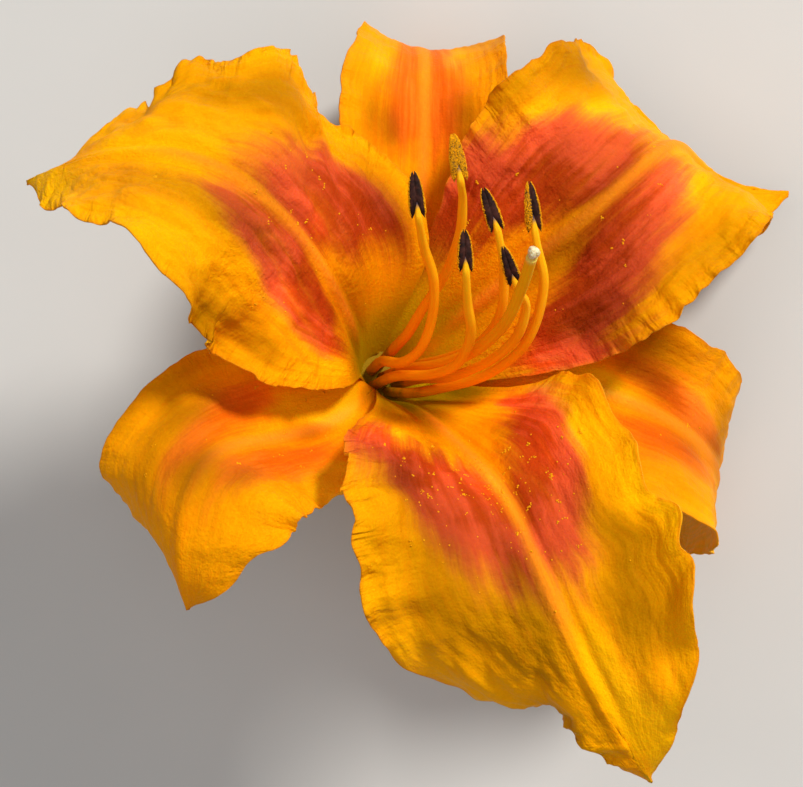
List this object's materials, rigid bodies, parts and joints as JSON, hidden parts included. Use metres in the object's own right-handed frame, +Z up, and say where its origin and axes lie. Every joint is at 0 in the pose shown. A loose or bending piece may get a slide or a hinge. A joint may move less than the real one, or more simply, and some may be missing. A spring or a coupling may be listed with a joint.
{
  "type": "daylily bloom",
  "caption": "Open daylily bloom, picked: broad ruffled petals inside narrower recurved sepals, curved stamens and style, floral tube and short stalk, lying on a surface.",
  "frame": {"origin": "middle of the footprint, on the surface that the bloom lies on", "axes": "+Z up, +Y towards the back sepal, +X towards the right petal, as the picture shows the bloom from above"},
  "size_m": [0.1092, 0.1116, 0.0941],
  "materials": {
    "petal": "satin",
    "sepal": "satin",
    "filament": "satin",
    "anther": "matte",
    "style": "satin",
    "stigma": "matte",
    "floral_tube": "satin",
    "stalk": "satin"
  },
  "bodies": {
    "root": {"petal_left": "petal", "petal_right": "petal", "petal_front": "petal", "sepal_back": "sepal", "sepal_left": "sepal", "sepal_right": "sepal", "floral_tube": "floral_tube", "stalk": "stalk", "filament_1": "filament", "filament_2": "filament", "filament_3": "filament", "filament_4": "filament", "filament_5": "filament", "filament_6": "filament", "anther_1": "anther", "anther_2": "anther", "anther_3": "anther", "anther_4": "anther", "anther_5": "anther", "anther_6": "anther", "style": "style", "stigma": "stigma"}
  },
  "joints": []
}
